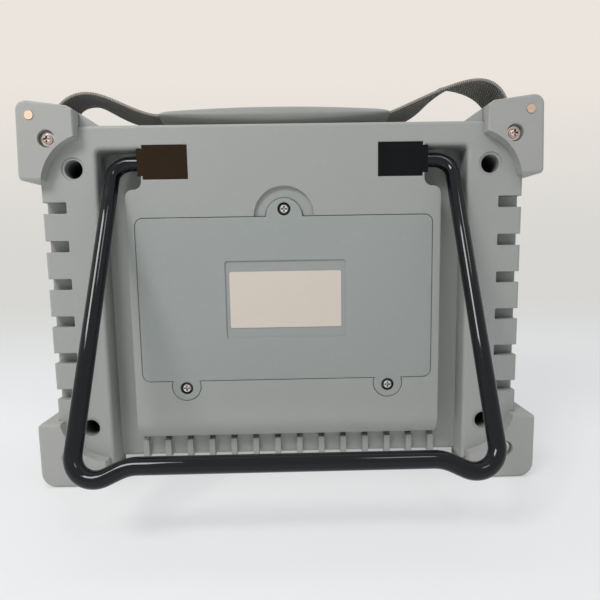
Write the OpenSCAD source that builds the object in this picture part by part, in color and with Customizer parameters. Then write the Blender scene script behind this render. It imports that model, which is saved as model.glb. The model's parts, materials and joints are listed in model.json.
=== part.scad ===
// Portable eddy current detector in a moulded case: corner guards, webbing handle and rod tilt stand.
// The open stand side faces -Y, the screen side +Y, and the case stands on its lower guards.

/* [Case] */
// Width of the case between its side walls
case_w = 266; // [250:1:290]
// Height of the case between its top and bottom walls
case_h = 193; // [185:1:210]
// Depth of the rear shell, from the rear rim to the parting line
rear_d = 42; // [40:1:48]
// Depth of the front shell, from the parting line to the bezel face
front_d = 38; // [36:1:46]
// Radius of the four upright case corners
corner_r = 8; // [6:0.5:9]
// Thickness of the moulded walls
wall = 3; // [2.5:0.1:3.2]
// Bevel of the rear and front rims
rim_soft = 1.5; // [0.8:0.1:2]

/* [Stand recess] */
// Depth of the recess that holds the folded stand
recess_d = 13; // [12.5:0.1:14]
// Half width of the recess, from the middle to the outer lips
lip_x = 102; // [101:0.25:103]
// Half width of the raised panel between the two leg channels
panel_x = 87.4; // [85.5:0.1:88.5]
// Height of the recess's upper edge above the case's middle
recess_top = 83.7; // [83:0.1:86]
// Half width of the panel's neck, where the stand turns
neck_x = 78; // [77.5:0.1:79]
// Height of the panel's shoulders above the middle
shoulder_z = 62; // [59:0.5:64]
// Radius of the shoulder's two curves
shoulder_r = 4.5; // [3:0.25:4.6]
// Height below the middle at which the panel starts to round down
round_z = 70.2; // [69:0.1:70.6]
// Rounding of the trough's lower edge
trough_soft = 3; // [1:0.25:3]
// Radius of the recess's two upper outer corners
recess_r = 3; // [2:0.25:5]
// Rounding of the recess's long outer lips
lip_round = 2; // [1:0.25:3]
// Number of ribs along the trough
rib_n = 14; // [8:1:14]
// Distance from rib to rib
rib_pitch = 13.3; // [11:0.1:13.4]
// Width of one rib
rib_w = 3.5; // [2.4:0.1:5]
// Height of a rib over the trough floor
rib_h = 3; // [1.5:0.1:3.2]
// Height of the core notch over each rib
notch_h = 2.2; // [1.4:0.1:2.6]

/* [Side grooves] */
// Number of grip grooves on each side
groove_n = 6; // [3:1:6]
// Distance from groove to groove
groove_pitch = 21.1; // [18:0.1:22]
// Width of one groove
groove_w = 6.2; // [4:0.1:8]
// How far a groove reaches in from the side wall
groove_in = 13.5; // [9:0.1:14]
// Depth of a groove below the rear rim
groove_d = 6.5; // [4:0.1:8]

/* [Screw wells] */
// Distance of a well from the case's middle, across
well_x = 114.5; // [113.5:0.1:116]
// Distance of a well from the case's middle, up
well_z = 73.4; // [72:0.1:75]
// Diameter of a well
well_dia = 10; // [9:0.1:11]
// Diameter of the shallow ring round a well's mouth
ring_dia = 12.7; // [12:0.1:14]
// Depth of the shallow ring
ring_d = 0.6; // [0.3:0.1:1.2]

/* [Corner guards] */
// How far the upper guards stand out beyond the side walls at the case's corners
guard_side = 7.5; // [6:0.1:9]
// How much further out the lower end of an upper guard lies
guard_flare = 1; // [0:0.1:1.4]
// How far the lower guards stand out beyond the side walls
foot_guard_side = 9.1; // [8:0.1:10]
// How far the upper guards rise over the top wall
top_guard_end = 12; // [11:0.1:13]
// How far the case's bottom wall stands over the bench on the lower guards
guard_end = 9.5; // [9:0.1:11]
// How far the guards stand proud of the rims
guard_proud = 6; // [5:0.1:7]
// How far a guard wraps along the case's depth
guard_wrap = 24; // [20:0.5:24.5]
// Length of an upper guard down the side
guard_len = 41.5; // [39.5:0.5:42.5]
// Length of a lower guard up the side
foot_guard_len = 37.6; // [35.6:0.2:38.6]
// Length of a top guard along the top
top_guard_w = 30.2; // [28:0.1:30.6]
// Length of a bottom guard along the bottom
foot_guard_w = 37.6; // [34.6:0.1:38.6]
// Radius of the upper guards' outer corner
guard_r = 5.5; // [4.5:0.25:8]
// Radius of the lower guards' outer corner
foot_guard_r = 8.5; // [5:0.25:9]
// Radius of the round bite on the guards' inner side
bite_r = 28.6; // [28:0.1:29]
// Slope of the bite's wall
bite_draft = 0.2; // [0.1:0.1:0.8]
// Softening of the guards' outer edges
guard_soft = 1.5; // [0.8:0.1:2.4]

/* [Handle] */
// Width of the webbing
strap_w = 29; // [26:0.5:30]
// Thickness of the webbing
strap_t = 1.6; // [1.2:0.1:2]
// Diameter of the steel pins that hold the webbing
pin_dia = 4.7; // [4:0.1:5.4]
// How far the left arch of the webbing rises over its pin
left_rise = 21.3; // [18:0.1:24]
// How far the right arch of the webbing rises over its pin
right_rise = 26.3; // [22:0.1:28]
// Length of the grip
grip_len = 138; // [120:1:140]
// How far the grip sits towards the left of the middle
grip_off = 5; // [0:0.5:8]
// Width of the grip across the webbing
grip_w = 34; // [33:0.5:38]
// Thickness of the grip at its middle
grip_t = 12; // [11.4:0.1:13]
// Height of the grip's underside over the case top
grip_gap = 6; // [5:0.1:8]

/* [Stand] */
// Diameter of the stand's steel rod
rod_dia = 6; // [5:0.1:6.4]
// Diameter over the rod's black sleeve
sleeve_dia = 8; // [7.4:0.1:9]
// Distance of each leg from the middle
leg_x = 94; // [93:0.1:96]
// Height of the stand's turning axis above the case's middle
pivot_z = 76.6; // [76:0.1:77.5]
// Depth of the turning axis below the rear rim
pivot_y = 5.2; // [5:0.1:5.6]
// Distance from the turning axis to the cross bar
bar_reach = 158.6; // [157:0.1:161]
// How far the feet dip below the cross bar
foot_dip = 5.3; // [4:0.1:8]
// Radius of the two upper bends, on the rod's axis
bend_r = 9.5; // [9:0.1:10.5]
// Radius of the two feet, on the rod's axis
foot_r = 11; // [9.5:0.1:12]
// Slope from each foot up to the cross bar
foot_slope = 25; // [22:1:34]
// Radius of the bend into the cross bar
bar_bend_r = 20; // [14:0.5:24]
// How far the stand is open, in degrees
open_deg = 27; // [5:0.5:60]

/* [Pivot covers] */
// Width of a cover's block
cover_w = 24.4; // [22:0.1:25]
// Height of a cover's block
cover_h = 18.2; // [16:0.1:18.6]
// Height of the tongue over the rod
tongue_h = 14.4; // [12:0.1:15]
// How far the tongue reaches out past the panel's neck
tongue_out = 1.8; // [1:0.1:2.6]
// Thickness of the tongue
tongue_t = 1.8; // [1.2:0.1:2]

/* [Battery door] */
// Width of the door
door_w = 165.6; // [160:0.2:168]
// Height of the door without its tabs
door_h = 92.6; // [91:0.2:94]
// Radius of the door's corners
door_r = 4.5; // [3:0.5:8]
// Thickness of the door
door_t = 3; // [2.6:0.1:3.6]
// Radius of the door's upper tab
top_tab_r = 10.1; // [8.5:0.1:12]
// Radius of the finger recess round the upper tab
finger_r = 16.7; // [14:0.1:18]
// Depth of the finger recess
finger_d = 1.8; // [0.8:0.1:2.2]
// Radius of the door's two lower tabs
low_tab_r = 8.1; // [7:0.1:9]
// Distance of a lower tab from the middle
low_tab_x = 58; // [50:0.5:66]
// Width of the label's recess
label_bed_w = 67.6; // [65:0.2:72]
// Height of the label's recess
label_bed_h = 44; // [36:0.2:48]
// Width of the bare label
label_w = 63; // [56:0.5:64]
// Height of the bare label
label_h = 32; // [26:0.5:35]
// Thickness of the label
label_t = 0.3; // [0.2:0.05:0.5]

/* [Battery] */
// Width of the battery pack
pack_w = 152; // [130:1:153]
// Height of the battery pack
pack_h = 82; // [70:1:83]
// Thickness of the battery pack
pack_t = 21; // [18:0.5:22]

/* [Screen and keys] */
// Width of the screen's clear window
window_w = 150; // [130:1:152]
// Height of the screen's clear window
window_h = 112; // [100:1:116]
// Thickness of the clear window
window_t = 2; // [1.5:0.1:2.2]
// Distance of the window's middle from the case's middle
window_x = 28; // [26:0.5:32]
// Width of one key
key_w = 13; // [10:0.5:14]
// Height of one key
key_h = 10; // [8:0.5:12]
// Distance from key to key
key_pitch = 18; // [16:0.5:18.5]
// How far a key stands out of the bezel
key_out = 2; // [1.4:0.1:3]
// How far a key travels when it is pressed
key_travel = 1; // [0.6:0.1:1.2]

/* [Sockets] */
// Bore of a probe socket
probe_bore = 11; // [9:0.1:12]
// Depth of a probe socket's bore
probe_bore_d = 9; // [7:0.5:10]
// Bore of the power socket
power_bore = 5.6; // [5.4:0.1:6.4]

/* [Boards] */
// Thickness of the circuit boards
board_t = 1.6; // [1:0.1:2]
// Width of the main board
main_w = 196; // [180:1:200]
// Height of the main board
main_h = 140; // [120:1:144]

/* [Hidden] */

// Clearances and overruns
fit = 0.15;      // sliding fit of a piece in its seat
run = 0.05;      // running fit of a round piece in its bore
over = 1;        // how far a cut runs past the face that it opens
hair = 0.35;     // hairline gap round the battery door
ease = 0.02;     // straight lengths of rod are this much thinner than its bends
lap = 0.4;       // and reach this far into them
fine_fn = 64;
small_fn = 32;

// Case in its own axes: x to the right, y in from the rear rim, z up from the middle
case_d = rear_d + front_d;
half_w = case_w / 2;
half_h = case_h / 2;
guard_x = half_w + guard_side;
guard_z = half_h + guard_end;
top_guard_z = half_h + top_guard_end;
depth_out = case_d + guard_proud;
pin_proud = 0.3;
open_reach = (bar_reach + foot_dip) * sin(open_deg) + sleeve_dia / 2 - pivot_y;
case_y = (max(open_reach, guard_proud + pin_proud) - depth_out - pin_proud) / 2;
inner_y = recess_d + wall;       // where the main hollow starts
in_w = half_w - wall;
in_h = half_h - wall;

// Screws: head radius, head height and shank radius of each kind
head_drum_share = 0.55;          // plain lower part of a screw head as a share of its height
guard_head_r = 2.7;
guard_head_h = 2.2;
guard_shank_r = 1.5;
guard_seat_r = 4.6;
guard_seat_d = 3;
guard_washer_r = 3.7;            // captive washer under each guard screw's head
guard_washer_t = 0.6;
guard_screw_l = 16;
guard_screw_in = 8;              // screw's place in from the side wall and the top wall
guard_screw_x = half_w - guard_screw_in;
guard_screw_z = half_h - guard_screw_in;
case_head_r = 3.8;
case_head_h = 3.2;
case_shank_r = 2;
case_screw_end = 12;             // how far a case screw reaches past the parting line
well_floor = 8;                  // solid left between a well and the parting line
well_boss_r = 7.2;
guard_boss_r = 4.6;
door_head_r = 2.65;
door_head_h = 1.7;
door_shank_r = 1.5;
door_seat_r = 3.6;
door_seat_d = 1.9;
door_screw_l = 9;
top_screw_up = 4.2;              // upper door screw above the door's upper edge
low_screw_down = 4.3;            // lower door screws below the door's lower edge
small_head_r = 2.4;
small_head_h = 1.5;
small_shank_r = 1.25;
cross_share = 0.62;              // length of a cross slot as a share of its head
cross_t_share = 0.2;
cross_d_share = 0.55;

// Guard outline
guard_dip = 2.8;                 // fall of an upper guard's top towards the middle
guard_nose_w = 3.6;              // bevel of its inner corner, along the top and down the side
guard_nose_h = 2.2;
guard_small_r = 0.8;
guard_low_r = 2.4;
bite_in_x = 31.8;                // middle of the round bite in from the side wall and the end wall
bite_in_z = 33.8;
bite_x = half_w - bite_in_x;
bite_z = half_h - bite_in_z;
gusset_w = 10.4;                 // gusset beside an upper guard, along the top wall
pin_in_x = 7.5;                  // strap pin in from the guard's outer side and its top
pin_in_z = 7.9;
pin_x = guard_x - pin_in_x;
pin_z = top_guard_z - pin_in_z;

// Webbing and grip
strap_y = case_d / 2;
grip_low = half_h + grip_gap;
slot_depth = 16;                 // how far the webbing reaches into each grip end
slot_share = 0.42;               // webbing's place in the grip's thickness
strap_low = grip_low + grip_t * slot_share;
left_peak_in = 13.5;             // top of each arch in from its pin
right_peak_in = 22;
loop_r = pin_dia / 2 + run;

// Stand
rod_r = rod_dia / 2;
sleeve_r = sleeve_dia / 2;
foot_z = bar_reach + foot_dip - foot_r;
sleeve_start = neck_x + tongue_out + fit * 2;
rod_end_in = 3;                  // rod end short of the cover's inner side
cover_back = 1.2;                // cover's block in from the panel's neck
cover_in = neck_x - cover_back - cover_w;
cover_out = cover_in + cover_w;

// Door and battery tray
door_z = door_h / 2;
pad_t = 2;
tray_floor = door_t + pad_t + pack_t;
tray_wall = 2.4;
tray_in_x = 4.8;                 // tray's walls in from the door's edges
tray_in_z = 3.2;
tray_x = door_w / 2 - tray_in_x;
tray_z = door_z - tray_in_z;
seal_w = 1.8;
seal_in = 1.2;                   // seal's distance from the tray's mouth
seal_d = 1;
contact_gap = 2;                 // room for the spring contacts at the pack's left end
contact_z = 12;
contact_t = 4;                   // half thickness of a contact's blade
boss_share = 2.5;                // a screw boss as a share of its screw's shank

// Seal on the parting line and threaded inserts
seal_share = 0.3;                // solid wall left on each side of the cord seal, as a share of the wall
seal_out = wall * seal_share;
insert_t = 1;
insert_l = 7.5;

// Screen, boards and keys
bezel_y = case_d - wall;
window_ledge = 3;
glass_y = case_d - window_t;
module_t = 7;
module_over = 5;                 // display module beyond the window on each side
foam_t = 0.8;
module_y = bezel_y - foam_t - module_t;
module_up = 1;                   // and beyond it above and below
main_back = 6;                   // main board in from the parting line
main_y = rear_d + main_back;
post_r = 3.4;
post_gap = 2.6;                  // room between a post and the boards and display beside it
key_board_h = 118;
main_hole_in = 6;
main_hole_x = main_w / 2 - main_hole_in;
main_hole_z = max(window_h / 2 + module_up, key_board_h / 2) + post_r + post_gap;
ear_r = 5;                       // ears of the main board round its four screws
ear_l = 12;
rx_w = 90;
rx_h = 60;
rx_x = 30;
rx_gap = 7;
rx_y = main_y - rx_gap - board_t;
spacer_r = 2.6;
key_flange = 1.2;
key_flange_t = 1.2;
key_board_back = 9;              // key board in from the bezel
key_board_y = bezel_y - key_board_back;
key_board_w = 62;
key_x = -84.5;                   // middle of the key field
key_stem_r = 1.8;
key_hole_in = 3.6;
key_hole_x = key_board_w / 2 - key_hole_in;
key_hole_z = key_board_h / 2 - key_hole_in;
key_gap = 0.25;
switch_h = 2;
switch_share = 0.6;              // width of a switch as a share of its key's height

// Chips on the main board: middle, half width and half height as shares of the board
chip_shares = [[-0.01, 0, 0.09, 0.13], [0.28, -0.31, 0.075, 0.03], [0.28, -0.23, 0.075, 0.03],
    [0.28, 0.23, 0.075, 0.03], [0.28, 0.31, 0.075, 0.03]];
chip_t = 2.4;
cap_x_shares = [-0.36, -0.3, -0.24];
cap_z_share = 0.28;
cap_r = 4;
cap_h = 8;
plug_in = 12;                    // battery plug in from the board's left edge
plug_w = 8;
plug_h = 40;
plug_t = 5.6;
buzzer_x_share = -0.2;
buzzer_z_share = -0.33;
buzzer_r = 6;
buzzer_h = 7;
buzzer_vent_r = 1;
buzzer_vent_d = 2;

// Sockets on the two sides
socket_y = rear_d + front_d / 2;
probe_z = 22;
probe_wall = 2;
probe_r = probe_bore / 2 + probe_wall;
probe_flange_w = 2.2;
probe_flange_r = probe_r + probe_flange_w;
probe_flange_t = 2;
probe_l = 16;
nut_w = 2.4;
nut_r = probe_r + nut_w;
nut_t = 3;
power_wall = 1.6;
power_r = power_bore / 2 + power_wall;
power_z = 20;
usb_z = -16;
usb_w = 12;
usb_h = 11;
usb_l = 14;
usb_shell = 0.6;
low_tab_share = 0.4;             // a lower tab's middle below the door's edge, as a share of its radius

// Colours
body_grey = "#9a9b96";
guard_grey = "#a2a39e";
door_grey = "#8f9496";
copper = "#b98a6a";
black = "#17181a";

module in_case() {
    translate([0, case_y, guard_z]) children();
}

// Extrudes an outline drawn in x and z from depth a to depth b
module deep(a, b) {
    translate([0, b, 0]) rotate([90, 0, 0]) linear_extrude(b - a) children();
}

// A round bar along the case's depth
module bar_y(x, z, r, a, b) {
    translate([x, a, z]) rotate([-90, 0, 0]) cylinder(r = r, h = b - a, $fn = small_fn);
}

module four(x, z) {
    for (sx = [-1, 1], sz = [-1, 1]) translate([sx * x, 0, sz * z]) children();
}

module round_rect(hw, hh, r) {
    square([hw * 2 - r * 2, hh * 2], center = true);
    square([hw * 2, hh * 2 - r * 2], center = true);
    for (sx = [-1, 1], sz = [-1, 1]) translate([sx * (hw - r), sz * (hh - r)]) circle(r, $fn = fine_fn);
}

// A box given by its two ends on each axis
module span(x, y, z) {
    translate([x[0], y[0], z[0]]) cube([x[1] - x[0], y[1] - y[0], z[1] - z[0]]);
}

// A screw whose head sits at the origin and points to -y, with a cross slot
module screw(head_r, head_h, shank_r, length) {
    slot = head_r * cross_share;
    thick = head_r * cross_t_share;
    difference() {
        union() {
            rotate([-90, 0, 0]) cylinder(r = head_r, h = head_h * head_drum_share, $fn = small_fn);
            intersection() {
                translate([0, head_h * head_drum_share, 0]) sphere(head_r, $fn = small_fn);
                rotate([90, 0, 0]) cylinder(r = head_r, h = head_h * (1 - head_drum_share), $fn = small_fn);
            }
            rotate([-90, 0, 0]) cylinder(r = shank_r, h = length, $fn = small_fn);
        }
        for (turn = [0, 90]) rotate([0, turn, 0])
            span([-slot, slot], [-head_h, head_h * (cross_d_share + head_drum_share - 1)], [-thick, thick]);
    }
}

// Outer body of a shell half with its rim bevelled at depth a (towards -y) or b (towards +y)
module shell_block(a, b, soft_at_a) {
    rim = soft_at_a ? a : b;
    step = soft_at_a ? rim_soft : -rim_soft;
    deep(soft_at_a ? a + rim_soft : a, soft_at_a ? b : b - rim_soft) round_rect(half_w, half_h, corner_r);
    hull() for (layer = [[0, 1], [0.3, 0.3], [1, 0]])
        translate([0, rim + step * layer[0], 0]) rotate([90, 0, 0])
            linear_extrude(rim_soft / 100, center = true)
                for (sx = [-1, 1], sz = [-1, 1])
                    translate([sx * (half_w - corner_r), sz * (half_h - corner_r)])
                        circle(corner_r - rim_soft * layer[1], $fn = small_fn);
}

// Outline of everything the stand's legs and pivots sink into, for the right half
module recess_outline() {
    translate([panel_x, -half_h - over]) square([lip_x - panel_x, half_h + over + recess_top - recess_r]);
    difference() {
        union() {
            translate([neck_x, shoulder_z]) square([lip_x - neck_x - recess_r, recess_top - shoulder_z]);
            translate([neck_x, shoulder_z]) square([lip_x - neck_x, recess_top - shoulder_z - recess_r]);
            translate([lip_x - recess_r, recess_top - recess_r]) circle(recess_r, $fn = fine_fn);
            translate([panel_x - shoulder_r, shoulder_z - shoulder_r]) square(shoulder_r);
        }
        difference() {
            translate([neck_x, shoulder_z]) square(shoulder_r);
            translate([neck_x + shoulder_r, shoulder_z + shoulder_r]) circle(shoulder_r, $fn = fine_fn);
        }
        translate([panel_x - shoulder_r, shoulder_z - shoulder_r]) circle(shoulder_r, $fn = fine_fn);
    }
}

// What an eased lip loses: x is the way out from the recess's wall, y the depth
module lip_profile() {
    difference() {
        translate([-over, -over]) square([lip_round + over, lip_round + over]);
        translate([lip_round, lip_round]) circle(lip_round, $fn = fine_fn);
    }
}

// Eased lip up the outer side, round the corner and along the top, for the right half
module lip_ease() {
    translate([lip_x, 0, -half_h - over]) linear_extrude(half_h + over + recess_top - recess_r)
        lip_profile();
    translate([lip_x - recess_r, 0, recess_top - recess_r]) rotate([90, 0, 0])
        rotate_extrude(angle = 90, $fn = fine_fn) translate([recess_r, 0]) mirror([0, 1]) lip_profile();
    translate([neck_x, 0, recess_top]) rotate([90, 0, 90]) linear_extrude(lip_x - neck_x - recess_r)
        mirror([1, -1]) lip_profile();
}

// The recess, with the panel rounding down into the trough and the trough's lower edge rounded
module stand_recess() {
    for (side = [0, 1]) mirror([side, 0, 0]) {
        deep(-over, recess_d) recess_outline();
        lip_ease();
    }
    translate([-lip_x, 0, 0]) rotate([90, 0, 90]) linear_extrude(lip_x * 2) difference() {
        translate([recess_d - over, -half_h - over]) square(trough_soft + over);
        translate([recess_d + trough_soft, trough_soft - half_h]) circle(trough_soft, $fn = fine_fn);
    }
    translate([-panel_x - over, 0, 0]) rotate([90, 0, 90]) linear_extrude((panel_x + over) * 2)
        difference() {
            translate([-over, -half_h - over]) square([recess_d + over, half_h + over - round_z]);
            translate([recess_d, -round_z]) circle(recess_d, $fn = fine_fn);
            translate([-over * 2, -round_z]) square([recess_d * 2, over]);
        }
}

// Ribs across the trough, each with a small core notch over it
module rib_places() {
    for (i = [0 : rib_n - 1]) translate([(i - (rib_n - 1) / 2) * rib_pitch, 0, 0]) children();
}

module trough_ribs() {
    rib_places() span([-rib_w / 2, rib_w / 2], [recess_d - rib_h, recess_d + trough_soft],
        [-half_h, -round_z - recess_d - notch_h]);
}

module rib_notches() {
    rib_places() translate([0, 0, -round_z - recess_d - notch_h / 4])
        deep(recess_d - rib_h, recess_d + rib_h / 2) round_rect(rib_w / 2, notch_h * 3 / 4, rib_w / 4);
}

module side_grooves() {
    for (side = [-1, 1], i = [0 : groove_n - 1])
        translate([side * (half_w - groove_in / 2 + over / 2), 0, (i - (groove_n - 1) / 2) * groove_pitch])
            deep(-over, groove_d) round_rect((groove_in + over) / 2, groove_w / 2, groove_w / 8);
}

// Door outline, grown by a gap for the seat that it drops into
module door_outline(grow) {
    round_rect(door_w / 2 + grow, door_z + grow, door_r + grow);
    translate([0, door_z]) circle(top_tab_r + grow, $fn = fine_fn);
    for (side = [-1, 1]) translate([side * low_tab_x, -door_z - low_tab_r * low_tab_share])
        circle(low_tab_r + grow, $fn = fine_fn);
}

module door_screw_places() {
    translate([0, 0, door_z + top_screw_up]) children();
    for (side = [-1, 1]) translate([side * low_tab_x, 0, -door_z - low_screw_down]) children();
}

module finger_recess() {
    deep(-over, finger_d) intersection() {
        translate([0, door_z]) circle(finger_r, $fn = fine_fn);
        translate([-finger_r, door_z]) square([finger_r * 2, finger_r]);
    }
}

// Gussets moulded on the top wall beside the upper guards
module guard_gussets(a, b) {
    inner = guard_x - top_guard_w - fit;
    for (side = [0, 1]) mirror([side, 0, 0]) deep(a, b)
        polygon([[inner - gusset_w, half_h - rim_soft], [inner - gusset_w, half_h],
            [inner, top_guard_z - guard_dip - guard_nose_h], [inner, half_h - rim_soft]]);
}

// Seats of the pivot cover, its tongue and the rod's half-round bed, for the right side
module pivot_seat() {
    span([cover_in - fit, cover_out + fit], [-over, pivot_y],
        [pivot_z - cover_h / 2 - fit, pivot_z + cover_h / 2 + fit]);
    span([cover_out, neck_x + over], [-over, pivot_y],
        [pivot_z - tongue_h / 2 - fit, pivot_z + tongue_h / 2 + fit]);
    translate([cover_in + rod_end_in - run, pivot_y, pivot_z]) rotate([0, 90, 0])
        cylinder(r = rod_r + run, h = lip_x - cover_in - rod_end_in, $fn = fine_fn);
}

module cover_screw_places() {
    for (sz = [-1, 1])
        translate([cover_in + cover_w / 2, 0, pivot_z + sz * (cover_h / 2 - small_head_r)]) children();
}

// Hollows of the rear shell behind its panel, frames and recess
module rear_hollows() {
    deep(inner_y, rear_d + over) round_rect(in_w, in_h, corner_r - wall);
    for (side = [0, 1]) mirror([side, 0, 0]) {
        frame_z = well_z - well_boss_r - wall;
        span([lip_x + wall, half_w - groove_in - wall], [wall, inner_y + over], [-frame_z, frame_z]);
        span([half_w - groove_in - wall - over, in_w], [groove_d + wall, inner_y + over],
            [-frame_z, frame_z]);
    }
    span([-well_x + well_boss_r, well_x - well_boss_r], [wall, inner_y + over], [recess_top + wall, in_h]);
    span([-cover_in + wall, cover_in - wall], [finger_d + wall, inner_y + over],
        [door_z + top_tab_r + wall, recess_top - wall]);
}

module rear_bosses() {
    four(well_x, well_z) bar_y(0, 0, well_boss_r, recess_d, rear_d);
    four(guard_screw_x, guard_screw_z) bar_y(0, 0, guard_boss_r, recess_d, guard_screw_l);
    span([-tray_x - tray_wall, tray_x + tray_wall], [recess_d, tray_floor + tray_wall],
        [-tray_z - tray_wall, tray_z + tray_wall]);
    door_screw_places() bar_y(0, 0, door_shank_r * boss_share, recess_d, inner_y + wall);
}

module rear_shell() {
    color(body_grey) in_case() difference() {
        union() {
            difference() {
                shell_block(0, rear_d, true);
                stand_recess();
                rear_hollows();
            }
            intersection() {
                rear_bosses();
                deep(0, rear_d) round_rect(half_w, half_h, corner_r);
            }
            trough_ribs();
            guard_gussets(rim_soft, guard_wrap - rim_soft);
        }
        rib_notches();
        side_grooves();
        deep(-over, door_t) door_outline(hair);
        finger_recess();
        span([-tray_x, tray_x], [-over, tray_floor], [-tray_z, tray_z]);
        deep(door_t - over, door_t + seal_d) seal_ring();
        door_screw_places() bar_y(0, 0, door_shank_r + run, 0, door_screw_l + door_seat_d + over);
        four(well_x, well_z) {
            bar_y(0, 0, ring_dia / 2, -over, ring_d);
            bar_y(0, 0, well_dia / 2, -over, rear_d - well_floor);
            bar_y(0, 0, case_shank_r + run * 2, 0, rear_d + over);
        }
        four(guard_screw_x, guard_screw_z) bar_y(0, 0, guard_shank_r + run, -over, guard_screw_l - wall);
        for (side = [0, 1]) mirror([side, 0, 0]) {
            pivot_seat();
            cover_screw_places() bar_y(0, 0, small_shank_r + run, 0, inner_y + over);
        }
        translate([-tray_x - over / 2, 0, 0]) contact_blades(fit);
    }
}

// Screen side: bezel, window and key openings, side walls, posts and socket holes
module front_shell() {
    color(body_grey) in_case() difference() {
        union() {
            difference() {
                shell_block(rear_d, case_d, false);
                deep(rear_d - over, bezel_y) round_rect(in_w, in_h, corner_r - wall);
            }
            intersection() {
                union() {
                    four(well_x, well_z) bar_y(0, 0, well_boss_r, rear_d, case_d - rim_soft);
                    four(guard_screw_x, guard_screw_z)
                        bar_y(0, 0, guard_boss_r, case_d - guard_screw_l, case_d - rim_soft);
                }
                deep(rear_d, case_d) round_rect(half_w, half_h, corner_r);
            }
            four(main_hole_x, main_hole_z) bar_y(0, 0, post_r, main_y + board_t, bezel_y + over);
            translate([key_x, 0, 0]) four(key_hole_x, key_hole_z)
                bar_y(0, 0, post_r, key_board_y + board_t, bezel_y + over);
            display_places() bar_y(0, 0, small_shank_r + wall / 3, module_y + module_t, bezel_y + over);
            guard_gussets(case_d - guard_wrap + rim_soft, case_d - rim_soft);
        }
        translate([window_x, 0, 0]) {
            deep(glass_y, case_d + over) round_rect(window_w / 2 + fit, window_h / 2 + fit, wall + fit);
            deep(bezel_y - over, case_d)
                round_rect(window_w / 2 - window_ledge, window_h / 2 - window_ledge, wall);
        }
        key_places() deep(bezel_y - over, case_d + over)
            round_rect(key_w / 2 + key_gap, key_h / 2 + key_gap, wall + key_gap);
        four(well_x, well_z) {
            bar_y(0, 0, case_shank_r + insert_t, rear_d - over, rear_d + insert_l);
            bar_y(0, 0, case_shank_r + run * 2, rear_d - over, rear_d + case_screw_end + over);
        }
        four(guard_screw_x, guard_screw_z)
            bar_y(0, 0, guard_shank_r + run, case_d - guard_screw_l + wall, case_d + over);
        four(main_hole_x, main_hole_z) bar_y(0, 0, small_shank_r + run, main_y, main_y + board_t + wall * 3);
        translate([key_x, 0, 0]) four(key_hole_x, key_hole_z) {
            bar_y(0, 0, small_shank_r + run, key_board_y, key_board_y + board_t + wall * 1.5);
            bar_y(0, 0, small_head_r + fit, rear_d - over, key_board_y + board_t);
        }
        display_places() bar_y(0, 0, small_shank_r + run, module_y, bezel_y + wall / 2);
        for (sz = [-1, 1]) translate([-half_w - over, socket_y, sz * probe_z]) rotate([0, 90, 0])
            cylinder(r = probe_r + fit, h = wall + over * 2, $fn = fine_fn);
        translate([in_w - over, socket_y, power_z]) rotate([0, 90, 0])
            cylinder(r = power_r + fit, h = wall + over * 2, $fn = fine_fn);
        span([in_w - over, half_w + over], [socket_y - usb_h / 2 - fit, socket_y + usb_h / 2 + fit],
            [usb_z - usb_w / 2 - fit, usb_z + usb_w / 2 + fit]);
        gasket_ring(rear_d - over);
    }
}

// Cord seal in its groove along the parting line
module gasket_ring(start) {
    deep(start, rear_d + wall / 3) difference() {
        round_rect(half_w - seal_out, half_h - seal_out, corner_r - seal_out);
        round_rect(half_w - wall + seal_out, half_h - wall + seal_out, corner_r - wall + seal_out);
    }
}

module case_gasket() {
    color(black) in_case() gasket_ring(rear_d);
}

// One corner guard for the upper right rear corner; reach is its length along the top
module guard(reach, pinned) {
    outer = pinned ? guard_x : half_w + foot_guard_side;
    inner = outer - reach;
    high = pinned ? top_guard_z : guard_z;
    low = high - (pinned ? guard_len : foot_guard_len);
    big_r = pinned ? guard_r : foot_guard_r;
    dip = pinned ? guard_dip : 0;
    low_x = outer + (pinned ? guard_flare : 0) - guard_low_r;
    corners = [[outer - big_r, high - big_r, big_r], [low_x, low + guard_low_r, guard_low_r],
        [inner + guard_small_r, low + guard_small_r, guard_small_r],
        [inner + guard_small_r, high - dip - guard_nose_h - guard_small_r / 2, guard_small_r],
        [inner + guard_nose_w, high - dip - guard_small_r, guard_small_r]];
    difference() {
        hull() for (c = corners, layer = [[0, 1], [0.3, 0.3], [1, 0]])
            translate([c[0], -guard_proud + guard_soft * layer[0], c[1]]) rotate([-90, 0, 0])
                cylinder(r = max(c[2] - guard_soft * layer[1] * min(1, c[2] / guard_soft), c[2] / 8),
                    h = guard_wrap + guard_proud - guard_soft * layer[0], $fn = small_fn);
        deep(0, guard_wrap + over) round_rect(half_w, half_h, corner_r);
        translate([bite_x, -guard_proud, bite_z]) rotate([-90, 0, 0])
            cylinder(r1 = bite_r, r2 = bite_r - bite_draft, h = guard_proud, $fn = fine_fn);
        translate([bite_x, -guard_proud - over, bite_z]) rotate([-90, 0, 0])
            cylinder(r = bite_r, h = over, $fn = fine_fn);
        bar_y(guard_screw_x, guard_screw_z, guard_seat_r, -guard_proud - over, guard_seat_d - guard_proud);
        bar_y(guard_screw_x, guard_screw_z, guard_shank_r + run * 2, -guard_proud, over);
        if (pinned) bar_y(pin_x, pin_z, pin_dia / 2 + run, -guard_proud - over, guard_wrap + over);
    }
}

module guard_at(right, top, front) {
    color(guard_grey) in_case() mirror([right ? 0 : 1, 0, 0]) mirror([0, 0, top ? 0 : 1])
        translate([0, front ? case_d : 0, 0]) mirror([0, front ? 1 : 0, 0])
            guard(top ? top_guard_w : foot_guard_w, top);
}

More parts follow.
